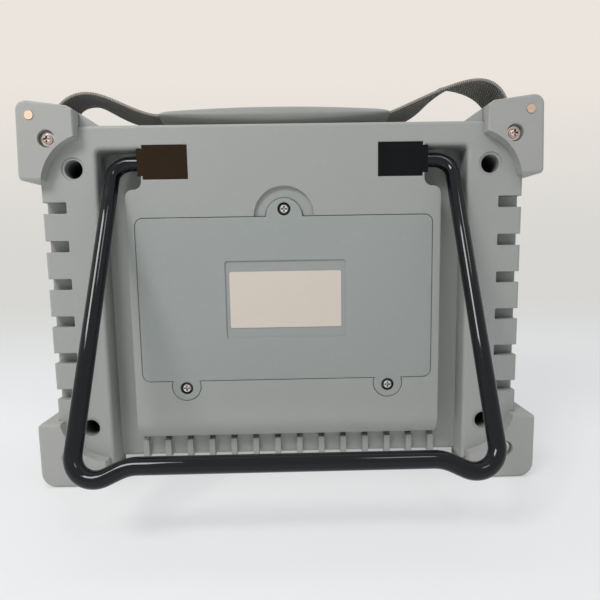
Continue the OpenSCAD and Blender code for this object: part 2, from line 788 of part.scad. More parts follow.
module rear_guard_top_left() { guard_at(false, true, false); }
module rear_guard_top_right() { guard_at(true, true, false); }
module rear_guard_bottom_left() { guard_at(false, false, false); }
module rear_guard_bottom_right() { guard_at(true, false, false); }
module front_guard_top_left() { guard_at(false, true, true); }
module front_guard_top_right() { guard_at(true, true, true); }
module front_guard_bottom_left() { guard_at(false, false, true); }
module front_guard_bottom_right() { guard_at(true, false, true); }

module guard_screw_set() {
    seat_y = guard_seat_d - guard_proud;
    four(guard_screw_x, guard_screw_z) {
        bar_y(0, 0, guard_washer_r, seat_y - guard_washer_t, seat_y);
        translate([0, seat_y - guard_washer_t - guard_head_h * head_drum_share + lap, 0])
            screw(guard_head_r, guard_head_h, guard_shank_r, guard_screw_l);
    }
}

module rear_guard_screws() {
    color(copper) in_case() guard_screw_set();
}

module front_guard_screws() {
    color(copper) in_case() translate([0, case_d, 0]) mirror([0, 1, 0]) guard_screw_set();
}

module strap_pin(side) {
    color(copper) in_case()
        bar_y(side * pin_x, pin_z, pin_dia / 2, -guard_proud - pin_proud, depth_out + pin_proud);
}

module strap_pin_left() { strap_pin(-1); }
module strap_pin_right() { strap_pin(1); }

module case_screws() {
    drum = case_head_h * head_drum_share;
    color("silver") in_case() four(well_x, well_z) translate([0, rear_d - well_floor - drum, 0])
        screw(case_head_r, case_head_h, case_shank_r, well_floor + drum + case_screw_end);
}

module thread_inserts() {
    color("goldenrod") in_case() four(well_x, well_z) difference() {
        bar_y(0, 0, case_shank_r + insert_t, rear_d, rear_d + insert_l);
        bar_y(0, 0, case_shank_r + run, rear_d - over, rear_d + insert_l + over);
    }
}

module battery_door() {
    color(door_grey) in_case() difference() {
        deep(0, door_t) door_outline(0);
        deep(-over, label_t * 2) round_rect(label_bed_w / 2, label_bed_h / 2, door_r / 3);
        door_screw_places() {
            bar_y(0, 0, door_seat_r, -over, door_seat_d);
            bar_y(0, 0, door_shank_r + run * 2, 0, door_t + over);
        }
    }
}

module seal_ring() {
    difference() {
        round_rect(tray_x + seal_in + seal_w, tray_z + seal_in + seal_w, door_r);
        round_rect(tray_x + seal_in, tray_z + seal_in, door_r / 2);
    }
}

module door_gasket() {
    color(black) in_case() deep(door_t, door_t + seal_d) seal_ring();
}

module door_screws() {
    color("silver") in_case() door_screw_places()
        translate([0, door_seat_d - door_head_h * head_drum_share, 0])
            screw(door_head_r, door_head_h, door_shank_r, door_screw_l);
}

module label_plate() {
    color("whitesmoke") in_case() deep(label_t, label_t * 2)
        round_rect(label_w / 2, label_h / 2, door_r / 4);
}

module battery_pack() {
    color("#2f4a63") in_case() {
        start = -tray_x + contact_gap;
        translate([start + pack_w / 2, 0, 0])
            deep(tray_floor - pack_t, tray_floor) round_rect(pack_w / 2, pack_h / 2, pack_t / 8);
    }
}

module battery_pad() {
    color("#3a3a3a") in_case() deep(door_t, tray_floor - pack_t) round_rect(pack_w / 3, pack_h / 3, door_r);
}

module contact_blades(grow) {
    for (sz = [-1, 0, 1])
        span([-contact_gap, contact_gap + over / 2],
            [tray_floor - pack_t / 2 - contact_t - grow, tray_floor - pack_t / 2 + contact_t + grow],
            [sz * contact_z - contact_gap - grow, sz * contact_z + contact_gap + grow]);
}

module battery_contacts() {
    color("goldenrod") in_case() translate([-tray_x - over / 2, 0, 0]) contact_blades(0);
}

// Cover over one pivot: a flush block and a tongue, hollowed for the rod
module pivot_cover() {
    difference() {
        union() {
            span([cover_in, cover_out], [0, pivot_y - run], [pivot_z - cover_h / 2, pivot_z + cover_h / 2]);
            span([cover_out - over, neck_x + tongue_out], [0, tongue_t],
                [pivot_z - tongue_h / 2, pivot_z + tongue_h / 2]);
        }
        translate([cover_in + rod_end_in - run, pivot_y, pivot_z]) rotate([0, 90, 0])
            cylinder(r = rod_r + run, h = cover_w + tongue_out + over * 3, $fn = fine_fn);
        cover_screw_places() bar_y(0, 0, small_shank_r + run, tongue_t, pivot_y + over);
    }
}

module pivot_cover_left() {
    color("#3c2e26") in_case() mirror([1, 0, 0]) pivot_cover();
}

module pivot_cover_right() {
    color(black) in_case() pivot_cover();
}

// Put in from inside the case
module pivot_cover_screws() {
    color("silver") in_case() for (side = [0, 1]) mirror([side, 0, 0]) cover_screw_places()
        translate([0, inner_y + small_head_h * head_drum_share, 0]) mirror([0, 1, 0])
            screw(small_head_r, small_head_h, small_shank_r, inner_y - tongue_t);
}

// Half of the bent rod, in its own plane: x across, z down from the turning axis
module rod_half(r, start) {
    low = foot_z;
    slope_x = leg_x - foot_r - foot_r * sin(foot_slope);
    slope_z = low + foot_r * cos(foot_slope);
    bend_z = bar_reach + bar_bend_r * (1 - cos(foot_slope));
    bend_x = slope_x - (slope_z - bend_z) / tan(foot_slope);
    bar_x = bend_x - bar_bend_r * sin(foot_slope);
    thin = r - ease;
    translate([start, 0, 0]) rotate([0, 90, 0])
        cylinder(r = thin, h = leg_x - bend_r - start + lap, $fn = small_fn);
    translate([leg_x - bend_r, 0, -bend_r]) rotate([90, 0, 0])
        rotate_extrude(angle = 90, $fn = fine_fn) translate([bend_r, 0]) circle(r, $fn = small_fn);
    translate([leg_x, 0, -low - lap]) cylinder(r = thin, h = low - bend_r + lap * 2, $fn = small_fn);
    translate([leg_x - foot_r, 0, -low]) rotate([90, 0, 0]) rotate([0, 0, -90 - foot_slope])
        rotate_extrude(angle = 90 + foot_slope, $fn = fine_fn) translate([foot_r, 0])
            circle(r, $fn = small_fn);
    translate([slope_x, 0, -slope_z]) rotate([0, -90 + foot_slope, 0]) translate([0, 0, -lap])
        cylinder(r = thin, h = (slope_z - bend_z) / sin(foot_slope) + lap * 2, $fn = small_fn);
    translate([bar_x, 0, -bar_reach - bar_bend_r]) rotate([90, 0, 0]) rotate([0, 0, 90 - foot_slope])
        rotate_extrude(angle = foot_slope, $fn = fine_fn) translate([bar_bend_r, 0])
            circle(r, $fn = small_fn);
    translate([-lap, 0, -bar_reach]) rotate([0, 90, 0])
        cylinder(r = thin, h = bar_x + lap * 2, $fn = small_fn);
}

module stand_rod(r, start) {
    for (side = [0, 1]) mirror([side, 0, 0]) rod_half(r, start);
}

module at_pivot() {
    translate([0, pivot_y, pivot_z]) rotate([-open_deg, 0, 0]) children();
}

module tilt_stand() {
    color("dimgray") in_case() at_pivot() stand_rod(rod_r, cover_in + rod_end_in);
}

module stand_sleeve() {
    color(black) in_case() at_pivot() difference() {
        stand_rod(sleeve_r, sleeve_start);
        stand_rod(rod_r + run, sleeve_start - over);
    }
}

// Webbing seen from the rear: round the pin, up into one arch, then flat into the grip
function bezier(a, b, c, d, t) = a * pow(1 - t, 3) + b * 3 * t * pow(1 - t, 2)
    + c * 3 * t * t * (1 - t) + d * pow(t, 3);
arch_steps = 12;

// How far the arch's curves are pulled at their ends, as shares of its run and its rise
arch_up_shares = [0.35, 0.38];
arch_out_shares = [0.45, 0.2];
arch_down_share = 0.3;
arch_flat_shares = [0.43, 0.3];  // left, right

module strap(side, end_x, rise, peak_in) {
    start = [pin_x + loop_r + strap_t / 2, pin_z];
    peak = [pin_x - peak_in, pin_z + rise];
    end = [end_x, strap_low + strap_t / 2];
    up = [0, peak_in * arch_up_shares[0] + rise * arch_up_shares[1]];
    out = [peak_in * arch_out_shares[0] + rise * arch_out_shares[1], 0];
    down = [(peak[0] - end_x) * arch_down_share, 0];
    flat = [(peak[0] - end_x) * arch_flat_shares[side < 0 ? 0 : 1], 0];
    path = concat([for (i = [0 : arch_steps]) bezier(start, start + up, peak + out, peak, i / arch_steps)],
        [for (i = [1 : arch_steps]) bezier(peak, peak - down, end + flat, end, i / arch_steps)]);
    last = len(path) - 1;
    half = [for (i = [0 : last]) let (d = i == 0 ? [0, 1] : i == last ? [-1, 0] : path[i + 1] - path[i - 1])
        [d[1], -d[0]] / norm(d) * strap_t / 2];
    mirror([side < 0 ? 1 : 0, 0, 0]) deep(strap_y - strap_w / 2, strap_y + strap_w / 2) {
        polygon(concat([for (i = [0 : last]) path[i] + half[i]],
            [for (i = [last : -1 : 0]) path[i] - half[i]]));
        translate([end_x - slot_depth, strap_low]) square([slot_depth + lap, strap_t]);
        translate([pin_x, pin_z]) difference() {
            circle(loop_r + strap_t, $fn = fine_fn);
            circle(loop_r, $fn = fine_fn);
        }
    }
}

module strap_left() {
    color("#3b3b3a") in_case() strap(-1, grip_len / 2 + grip_off, left_rise, left_peak_in);
}

module strap_right() {
    color("#3b3b3a") in_case() strap(1, grip_len / 2 - grip_off, right_rise, right_peak_in);
}

// Grip section: share of half width, then share of thickness at the middle and at the ends
grip_profile_shares = [[0.6, 0, 0.24], [0.88, 0.06, 0.4], [0.95, 0.16, 0.44], [1, 0.44, 0.54],
    [0.96, 0.62, 0.58], [0.9, 0.77, 0.62], [0.8, 0.83, 0.65], [0.4, 0.98, 0.8], [0.15, 1, 0.82]];
grip_steps = 18;
grip_waist_share = 0.07;               // how much narrower the ends are
grip_nose_share = 0.12;                // how much the very ends are drawn in
grip_cap_share = 0.008;                // length of that drawn-in part

function grip_ring(s, draw) = let (bow = pow(2 * s - 1, 2), wide = grip_w / 2 * (1 - grip_waist_share * bow),
    side = [for (q = grip_profile_shares) [wide * q[0] * (1 - draw / 3),
        grip_t * (slot_share + (q[1] + (q[2] - q[1]) * bow - slot_share) * (1 - draw))]])
    concat([for (i = [0 : len(side) - 1]) side[i]],
        [for (i = [len(side) - 1 : -1 : 0]) [-side[i][0], side[i][1]]]);

module handle_grip() {
    ring_n = len(grip_profile_shares) * 2;
    spots = concat([[0, grip_nose_share], [grip_cap_share, 0]],
        [for (i = [1 : grip_steps - 1]) [i / grip_steps, 0]],
        [[1 - grip_cap_share, 0], [1, grip_nose_share]]);
    points = [for (q = spots, p = grip_ring(q[0], q[1])) [grip_len * q[0], p[0], p[1]]];
    walls = [for (i = [0 : len(spots) - 2], j = [0 : ring_n - 1]) let (a = i * ring_n + j,
        b = i * ring_n + (j + 1) % ring_n, half = (a + j) % 2)
        each [[a, b + ring_n, b], [a, a + ring_n, b + ring_n]]];
    ends = [[for (j = [0 : ring_n - 1]) j],
        [for (j = [ring_n - 1 : -1 : 0]) (len(spots) - 1) * ring_n + j]];
    color("#8a8b86") in_case() translate([-grip_off - grip_len / 2, strap_y, grip_low]) difference() {
        polyhedron(points, concat(walls, ends));
        for (x = [-over, grip_len - slot_depth - fit])
            span([x, x + slot_depth + over + fit], [-strap_w / 2 - fit, strap_w / 2 + fit],
                [grip_t * slot_share - fit, grip_t * slot_share + strap_t + fit]);
    }
}

module display_window() {
    color("#20262b", 0.6) in_case() translate([window_x, 0, 0])
        deep(glass_y, case_d) round_rect(window_w / 2, window_h / 2, wall);
}

// Foam frame between the bezel and the display
module window_gasket() {
    color(black) in_case() translate([window_x, 0, 0]) deep(module_y + module_t, bezel_y) difference() {
        round_rect(window_w / 2, window_h / 2, wall);
        round_rect(window_w / 2 - window_ledge, window_h / 2 - window_ledge, wall);
    }
}

module display_places() {
    translate([window_x, 0, 0]) four(window_w / 2 + module_over / 2, window_h / 2 - module_over) children();
}

module display_module() {
    color("gray") in_case() difference() {
        translate([window_x, 0, 0]) deep(module_y, module_y + module_t)
            round_rect(window_w / 2 + module_over, window_h / 2 + module_up, wall);
        display_places() bar_y(0, 0, small_shank_r + run * 2, module_y - over, module_y + module_t + over);
    }
}

module display_screws() {
    drum = small_head_h * head_drum_share;
    color("silver") in_case() display_places() translate([0, module_y - drum, 0])
        screw(small_head_r, small_head_h, small_shank_r, module_t + drum + foam_t + wall / 3);
}

module receiver_places() {
    translate([rx_x, 0, 0]) four(rx_w / 2 - spacer_r * 2, rx_h / 2 - spacer_r * 2) children();
}

module main_board() {
    front = main_y + board_t;
    color("#1d6b3f") in_case() difference() {
        union() {
            deep(main_y, front) round_rect(main_w / 2, main_h / 2, wall);
            for (turn = [0, 1], side = [0, 1]) mirror([side, 0, 0]) mirror([0, 0, turn])
                span([main_hole_x - ear_r, main_hole_x + ear_r], [main_y, front],
                    [main_hole_z - ear_l, main_hole_z + ear_r]);
            for (c = chip_shares) deep(front, front + chip_t) translate([main_w * c[0], main_h * c[1]])
                square([main_w * c[2] * 2, main_h * c[3] * 2], center = true);
            for (x = cap_x_shares) bar_y(main_w * x, main_h * cap_z_share, cap_r, front, front + cap_h);
            span([plug_in - main_w / 2, plug_in + plug_w - main_w / 2], [main_y - plug_t, main_y],
                [-plug_h / 2, plug_h / 2]);
        }
        four(main_hole_x, main_hole_z) bar_y(0, 0, small_shank_r + run * 2, main_y - over, front + over);
        receiver_places() bar_y(0, 0, small_shank_r + run * 2, main_y - over, front + over);
    }
}

module board_screws() {
    drum = small_head_h * head_drum_share;
    color("silver") in_case() four(main_hole_x, main_hole_z) translate([0, main_y - drum, 0])
        screw(small_head_r, small_head_h, small_shank_r, board_t + drum + wall * 2);
}

module receiver_board() {
    color("#245a85") in_case() translate([rx_x, 0, 0]) difference() {
        union() {
            deep(rx_y, rx_y + board_t) round_rect(rx_w / 2, rx_h / 2, board_t);
            span([-rx_w / 3, rx_w / 6], [rx_y - rx_gap * 0.4, rx_y], [-rx_h / 3, rx_h / 3]);
        }
        four(rx_w / 2 - spacer_r * 2, rx_h / 2 - spacer_r * 2)
            bar_y(0, 0, small_shank_r + run * 2, rx_y - over, rx_y + board_t + over);
    }
}

module board_spacers() {
    color("goldenrod") in_case() receiver_places() {
        translate([0, rx_y + board_t, 0]) rotate([-90, 0, 0]) cylinder(r = spacer_r, h = rx_gap, $fn = 6);
        bar_y(0, 0, small_shank_r, rx_y, main_y + board_t);
    }
}

// Places of the nine keys: three function keys, five direction keys, the power key
key_row_share = 2.6;
key_drop_share = 0.2;
key_up_row = key_pitch * key_row_share;
key_mid_row = -key_pitch * key_drop_share;
key_low_row = -key_pitch * key_row_share;
key_spots = [[0, key_low_row], [-key_pitch, key_up_row], [0, key_up_row], [key_pitch, key_up_row],
    [0, key_mid_row + key_pitch], [0, key_mid_row - key_pitch], [key_pitch, key_mid_row],
    [-key_pitch, key_mid_row], [0, key_mid_row]];

module key_places() {
    for (spot = key_spots) translate([key_x + spot[0], 0, spot[1]]) children();
}

module key_board() {
    color("#1d6b3f") in_case() difference() {
        union() {
            translate([key_x, 0, 0]) deep(key_board_y, key_board_y + board_t)
                round_rect(key_board_w / 2, key_board_h / 2, board_t);
            key_places() deep(key_board_y, key_board_y + board_t + switch_h)
                square(key_h * switch_share, center = true);
        }
        translate([key_x, 0, 0]) four(key_hole_x, key_hole_z)
            bar_y(0, 0, small_shank_r + run * 2, key_board_y - over, key_board_y + board_t + over);
        four(well_x, well_z)
            bar_y(0, 0, well_boss_r + fit, key_board_y - over, key_board_y + board_t + over);
    }
}

module key_board_screws() {
    drum = small_head_h * head_drum_share;
    color("silver") in_case() translate([key_x, 0, 0]) four(key_hole_x, key_hole_z)
        translate([0, key_board_y - drum, 0])
            screw(small_head_r, small_head_h, small_shank_r, board_t + drum + wall);
}

// One rubber key: cap through the bezel, a flange behind it and a stem over its switch
module key(i, tint) {
    flange_y = bezel_y - key_flange_t;
    stem_y = key_board_y + board_t + switch_h + key_travel + run * 2;
    color(tint) in_case() translate([key_x + key_spots[i][0], 0, key_spots[i][1]]) {
        deep(flange_y, case_d + key_out) round_rect(key_w / 2, key_h / 2, wall);
        deep(flange_y, bezel_y)
            round_rect(key_w / 2 + key_flange, key_h / 2 + key_flange, wall + key_flange);
        bar_y(0, 0, key_stem_r, stem_y, flange_y + over / 2);
    }
}

module key_power() { key(0, "firebrick"); }
module key_menu() { key(1, "#3c4a55"); }
module key_gain() { key(2, "#3c4a55"); }
module key_phase() { key(3, "#3c4a55"); }
module key_up() { key(4, "#55606a"); }
module key_down() { key(5, "#55606a"); }
module key_left() { key(6, "#55606a"); }
module key_right() { key(7, "#55606a"); }
module key_enter() { key(8, "#3c4a55"); }

// Round probe socket in the left side wall, opening outwards
module probe_socket(up) {
    color("silver") in_case() translate([-half_w, socket_y, up * probe_z]) rotate([0, 90, 0]) difference() {
        union() {
            translate([0, 0, -probe_flange_t])
                cylinder(r = probe_flange_r, h = probe_flange_t, $fn = fine_fn);
            cylinder(r = probe_r, h = probe_l, $fn = fine_fn);
        }
        translate([0, 0, -probe_flange_t - over])
            cylinder(r = probe_bore / 2, h = probe_bore_d + over, $fn = fine_fn);
        for (a = [0 : 60 : 300]) rotate([0, 0, a]) translate([probe_bore / 4, 0, 0])
            cylinder(r = probe_bore / 20, h = probe_bore_d, $fn = small_fn);
    }
}

module probe_socket_upper() { probe_socket(1); }
module probe_socket_lower() { probe_socket(-1); }

module socket_nuts() {
    color("silver") in_case() for (sz = [-1, 1]) translate([-in_w, socket_y, sz * probe_z])
        rotate([0, 90, 0]) difference() {
            cylinder(r = nut_r, h = nut_t, $fn = 6);
            translate([0, 0, -over]) cylinder(r = probe_r + run, h = nut_t + over * 2, $fn = fine_fn);
        }
}

module power_socket() {
    color("dimgray") in_case() translate([half_w, socket_y, power_z]) rotate([0, 90, 0]) difference() {
        union() {
            translate([0, 0, -wall - usb_l]) cylinder(r = power_r, h = wall + usb_l, $fn = fine_fn);
            cylinder(r = power_r + wall / 2, h = board_t, $fn = fine_fn);
            translate([0, 0, -wall * 1.5]) cylinder(r = power_r + wall / 2, h = wall / 2, $fn = fine_fn);
        }
        translate([0, 0, board_t - probe_bore_d])
            cylinder(r = power_bore / 2, h = probe_bore_d + over, $fn = fine_fn);
    }
}

module usb_socket() {
    color("silver") in_case() difference() {
        union() {
            span([half_w - usb_l, half_w], [socket_y - usb_h / 2, socket_y + usb_h / 2],
                [usb_z - usb_w / 2, usb_z + usb_w / 2]);
            span([in_w - wall / 2, in_w], [socket_y - usb_h / 2 - wall / 2, socket_y + usb_h / 2 + wall / 2],
                [usb_z - usb_w / 2 - wall / 2, usb_z + usb_w / 2 + wall / 2]);
        }
        span([half_w - usb_l / 2, half_w + over],
            [socket_y - usb_h / 2 + usb_shell, socket_y + usb_h / 2 - usb_shell],
            [usb_z - usb_w / 2 + usb_shell, usb_z + usb_w / 2 - usb_shell]);
    }
}

module buzzer() {
    color(black) in_case() difference() {
        x = main_w * buzzer_x_share;
        z = main_h * buzzer_z_share;
        top = main_y + board_t + buzzer_h;
        bar_y(x, z, buzzer_r, main_y + board_t, top);
        bar_y(x, z, buzzer_vent_r, top - buzzer_vent_d, top + over);
    }
}

rear_shell();
front_shell();
case_gasket();
rear_guard_top_left();
rear_guard_top_right();
rear_guard_bottom_left();
rear_guard_bottom_right();
front_guard_top_left();
front_guard_top_right();
front_guard_bottom_left();
front_guard_bottom_right();
rear_guard_screws();
front_guard_screws();
strap_pin_left();
strap_pin_right();
case_screws();
thread_inserts();
battery_door();
door_gasket();
door_screws();
label_plate();
battery_pack();
battery_pad();
battery_contacts();
pivot_cover_left();
pivot_cover_right();
pivot_cover_screws();
tilt_stand();
stand_sleeve();
strap_left();
strap_right();
handle_grip();
display_window();
window_gasket();
display_module();
display_screws();
main_board();
board_screws();
receiver_board();
board_spacers();
key_board();
key_board_screws();
key_power();
key_menu();
key_gain();
key_phase();
key_up();
key_down();
key_left();
key_right();
key_enter();
probe_socket_upper();
probe_socket_lower();
socket_nuts();
power_socket();
usb_socket();
buzzer();
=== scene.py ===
import json
import math
import bmesh
import bpy
from mathutils import Matrix, Vector


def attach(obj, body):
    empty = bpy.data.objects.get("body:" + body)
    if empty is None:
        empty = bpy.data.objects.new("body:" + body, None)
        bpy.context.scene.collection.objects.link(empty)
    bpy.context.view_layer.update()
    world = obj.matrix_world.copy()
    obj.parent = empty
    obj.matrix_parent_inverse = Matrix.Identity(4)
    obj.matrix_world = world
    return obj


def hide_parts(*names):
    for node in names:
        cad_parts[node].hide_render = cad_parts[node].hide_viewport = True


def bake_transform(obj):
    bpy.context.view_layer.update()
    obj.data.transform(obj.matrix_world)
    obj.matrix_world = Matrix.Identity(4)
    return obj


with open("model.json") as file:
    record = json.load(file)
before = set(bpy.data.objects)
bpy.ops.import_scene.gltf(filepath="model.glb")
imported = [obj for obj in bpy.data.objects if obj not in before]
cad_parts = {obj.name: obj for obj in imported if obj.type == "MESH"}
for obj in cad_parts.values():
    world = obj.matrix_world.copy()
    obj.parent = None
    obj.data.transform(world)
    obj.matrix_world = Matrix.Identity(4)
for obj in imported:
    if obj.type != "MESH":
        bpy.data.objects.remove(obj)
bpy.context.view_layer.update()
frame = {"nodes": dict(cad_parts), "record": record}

mm = 0.001
nodes = frame["nodes"]
print("frame loaded:", len(nodes), "nodes")

# The case's own axes: x to the right, y in from the rear rim, z up from the case's middle
caseMiddle = {"y": -6.5455, "z": 106.0}


def place(x, y, z):
    return Vector((x * mm, (y + caseMiddle["y"]) * mm, (z + caseMiddle["z"]) * mm))


# Camera at the photograph's place

cameraSet = {
    "spot": (4.5, -261.8, 29.0),
    "pitchDown": 6.43,
    "turnRight": 0.78,
    "roll": -0.96,
    "lens": 27.9,
}


def makeCamera(s):
    pitch, turn, roll = (math.radians(s[k]) for k in ("pitchDown", "turnRight", "roll"))
    ahead = Vector((math.sin(turn) * math.cos(pitch), math.cos(turn) * math.cos(pitch), -math.sin(pitch)))
    right = Vector((math.cos(turn), -math.sin(turn), 0))
    up = right.cross(ahead)
    side = right * math.cos(roll) + up * math.sin(roll)
    top = up * math.cos(roll) - right * math.sin(roll)
    data = bpy.data.cameras.new("camera")
    data.lens = s["lens"]
    data.sensor_width = 36
    data.clip_start, data.clip_end = 0.01, 20
    camera = bpy.data.objects.new("camera", data)
    bpy.context.scene.collection.objects.link(camera)
    turned = Matrix((side, top, -ahead)).transposed().to_4x4()
    camera.matrix_world = Matrix.Translation(place(*s["spot"])) @ turned
    bpy.context.scene.camera = camera


makeCamera(cameraSet)
print("camera set")


# Small helpers for materials

def newMaterial(name):
    material = bpy.data.materials.new(name)
    material.use_nodes = True
    tree = material.node_tree
    return material, tree, tree.nodes["Principled BSDF"]


def addNode(tree, kind, values=(), **settings):
    node = tree.nodes.new(kind)
    for key, value in settings.items():
        setattr(node, key, value)
    for key, value in dict(values).items():
        node.inputs[key].default_value = value
    return node


def setShader(shader, **values):
    for key, value in values.items():
        shader.inputs[key.replace("_", " ")].default_value = value


def mixColours(tree, factor, first, second):
    mix = addNode(tree, "ShaderNodeMix", data_type="RGBA")
    for socket, value in ((mix.inputs[0], factor), (mix.inputs[6], first), (mix.inputs[7], second)):
        if hasattr(value, "is_linked"):
            tree.links.new(value, socket)
        else:
            socket.default_value = value if isinstance(value, (int, float)) else (*value[:3], 1)
    return mix.outputs[2]


def calculate(tree, operation, *values):
    node = addNode(tree, "ShaderNodeMath", operation=operation)
    for value, socket in zip(values, node.inputs):
        if hasattr(value, "is_linked"):
            tree.links.new(value, socket)
        else:
            socket.default_value = value
    return node.outputs[0]


def awayFrom(tree, value, middle=0.0):
    return calculate(tree, "ABSOLUTE", calculate(tree, "SUBTRACT", value, middle))


def splitCoords(tree, output="Object"):
    coords = addNode(tree, "ShaderNodeTexCoord")
    split = addNode(tree, "ShaderNodeSeparateXYZ")
    tree.links.new(coords.outputs[output], split.inputs[0])
    return split.outputs


def spread(tree, value, low, high, fromLow=0.0, fromHigh=1.0):
    node = addNode(tree, "ShaderNodeMapRange", {1: fromLow, 2: fromHigh, 3: low, 4: high})
    tree.links.new(value, node.inputs[0])
    return node.outputs[0]


def noise(tree, scale, detail=2.0, roughness=0.5, stretch=None):
    coords = addNode(tree, "ShaderNodeTexCoord")
    source = coords.outputs["Object"]
    if stretch:
        mapping = addNode(tree, "ShaderNodeMapping", {"Scale": stretch})
        tree.links.new(source, mapping.inputs["Vector"])
        source = mapping.outputs["Vector"]
    node = addNode(tree, "ShaderNodeTexNoise", {"Scale": scale, "Detail": detail, "Roughness": roughness})
    tree.links.new(source, node.inputs["Vector"])
    return node.outputs["Fac"]


# Painted shade: darkens a colour inside recesses narrower than the given reach
def paintShadeInCrevices(tree, colour, dark, reach, shut, clear):
    hollow = addNode(tree, "ShaderNodeAmbientOcclusion", {"Distance": reach}, samples=8)
    return mixColours(tree, spread(tree, hollow.outputs["AO"], 0.0, 1.0, shut, clear), dark, colour)


def bumpOn(tree, shader, height, depth, strength, edge=0.0):
    bump = addNode(tree, "ShaderNodeBump", {"Strength": strength, "Distance": depth})
    tree.links.new(height, bump.inputs["Height"])
    if edge:
        bevel = addNode(tree, "ShaderNodeBevel", {"Radius": edge}, samples=6)
        tree.links.new(bevel.outputs["Normal"], bump.inputs["Normal"])
    tree.links.new(bump.outputs["Normal"], shader.inputs["Normal"])


def mouldedPlastic(name, s):
    material, tree, shader = newMaterial(name)
    broad = noise(tree, s["cloudScale"], 3.0)
    fine = noise(tree, s["grainScale"], 2.0, 0.6)
    dust = noise(tree, s["grainScale"] * 0.13, 4.0, 0.7)
    shade = mixColours(tree, broad, s["colour"], s["second"])
    specks = spread(tree, dust, 0.0, s["specks"], 0.55, 0.8)
    dustAndShade = mixColours(tree, specks, shade, s["dust"])
    # Painted shade darkens the wells beside the door inside, the seams of the door get none
    if "hollow" in s:
        shadedBeside = spread(tree, awayFrom(tree, splitCoords(tree)["X"]), 0.0, 1.0, *s["hollowFrom"])
        hollowShaded = paintShadeInCrevices(tree, dustAndShade, s["hollow"], s["hollowReach"], 0.05, 0.36)
        dustAndShade = mixColours(tree, shadedBeside, dustAndShade, hollowShaded)
    tree.links.new(dustAndShade, shader.inputs["Base Color"])
    uneven = spread(tree, dust, s["rough"] - 0.05, s["rough"] + 0.07, 0.3, 0.7)
    tree.links.new(uneven, shader.inputs["Roughness"])
    setShader(shader, IOR=1.5, Specular_IOR_Level=s["gloss"])
    bumpOn(tree, shader, fine, s["grainDepth"], s["grain"], s["edge"])
    return material


def metal(name, s):
    material, tree, shader = newMaterial(name)
    streaks = noise(tree, s["scale"], 3.0, 0.6, s["stretch"])
    shade = mixColours(tree, streaks, s["colour"], s["second"])
    if "ring" in s:
        start = (s["ringFrom"] + caseMiddle["y"]) * mm
        deeper = spread(tree, splitCoords(tree)["Y"], 0.0, 1.0, start, start + s["ringWay"] * 0.1 * mm)
        shade = mixColours(tree, deeper, shade, s["ring"])
    # Painted shade in the screws' cross recesses and other crevices of the metal parts
    shade = paintShadeInCrevices(tree, shade, s["crevice"], s["reach"], 0.35, 0.85)
    tree.links.new(shade, shader.inputs["Base Color"])
    tree.links.new(spread(tree, streaks, s["rough"] - 0.08, s["rough"] + 0.1), shader.inputs["Roughness"])
    setShader(shader, Metallic=1.0)
    bumpOn(tree, shader, streaks, 0.00004, 0.3, s["edge"])
    return material


# The hollow colour is painted shade for the wells and other recesses away from the door
caseGrey = {"colour": (0.335, 0.345, 0.332), "second": (0.368, 0.372, 0.355), "dust": (0.5, 0.5, 0.48),
            "specks": 0.12, "cloudScale": 9.0, "grainScale": 1500.0, "grainDepth": 0.00006, "grain": 0.35,
            "rough": 0.5, "gloss": 0.42, "edge": 0.0007, "hollow": (0.004, 0.006, 0.007), "hollowReach": 0.02,
            "hollowFrom": (0.09, 0.094)}
guardGrey = dict(caseGrey, colour=(0.36, 0.362, 0.348), second=(0.4, 0.398, 0.38), rough=0.55, edge=0.0005)
doorGrey = dict(caseGrey, colour=(0.312, 0.335, 0.33), second=(0.335, 0.352, 0.345), edge=0.0009)
gripGrey = dict(caseGrey, colour=(0.29, 0.295, 0.28), second=(0.32, 0.322, 0.305), rough=0.45, edge=0.0005)
coverBrown = {"colour": (0.022, 0.013, 0.007), "second": (0.032, 0.02, 0.011), "dust": (0.09, 0.07, 0.06),
              "specks": 0.07, "cloudScale": 60.0, "grainScale": 1800.0, "grainDepth": 0.00005, "grain": 0.3,
              "rough": 0.55, "gloss": 0.06, "edge": 0.0003}
coverBlack = dict(coverBrown, colour=(0.006, 0.007, 0.008), second=(0.010, 0.011, 0.012), dust=(0.04, 0.04, 0.04))
boardGreen = dict(caseGrey, colour=(0.02, 0.15, 0.07), second=(0.03, 0.2, 0.09), dust=(0.7, 0.6, 0.3),
                  specks=0.5, rough=0.35, edge=0.0002)
rubberBlack = dict(coverBlack, rough=0.7, gloss=0.25)
keyRubber = dict(coverBlack, colour=(0.035, 0.04, 0.045), second=(0.045, 0.05, 0.056), rough=0.6, edge=0.0009)
keyRed = dict(keyRubber, colour=(0.38, 0.02, 0.02), second=(0.45, 0.03, 0.025))
packBlue = dict(coverBlack, colour=(0.03, 0.07, 0.15), second=(0.04, 0.09, 0.19), rough=0.3, gloss=0.5)
# The crevice colour is painted shade for the recesses of the metal parts
copperSteel = {"colour": (0.72, 0.5, 0.38), "second": (0.84, 0.64, 0.5), "scale": 700.0, "stretch": (1, 1, 1),
               "rough": 0.34, "edge": 0.0002, "crevice": (0.05, 0.025, 0.015), "reach": 0.0022}
plainSteel = dict(copperSteel, colour=(0.78, 0.76, 0.72), second=(0.92, 0.9, 0.87), crevice=(0.03, 0.025, 0.02))
yellowBrass = dict(copperSteel, colour=(0.72, 0.52, 0.22), second=(0.82, 0.63, 0.3))
pinSteel = dict(copperSteel, rough=0.55)
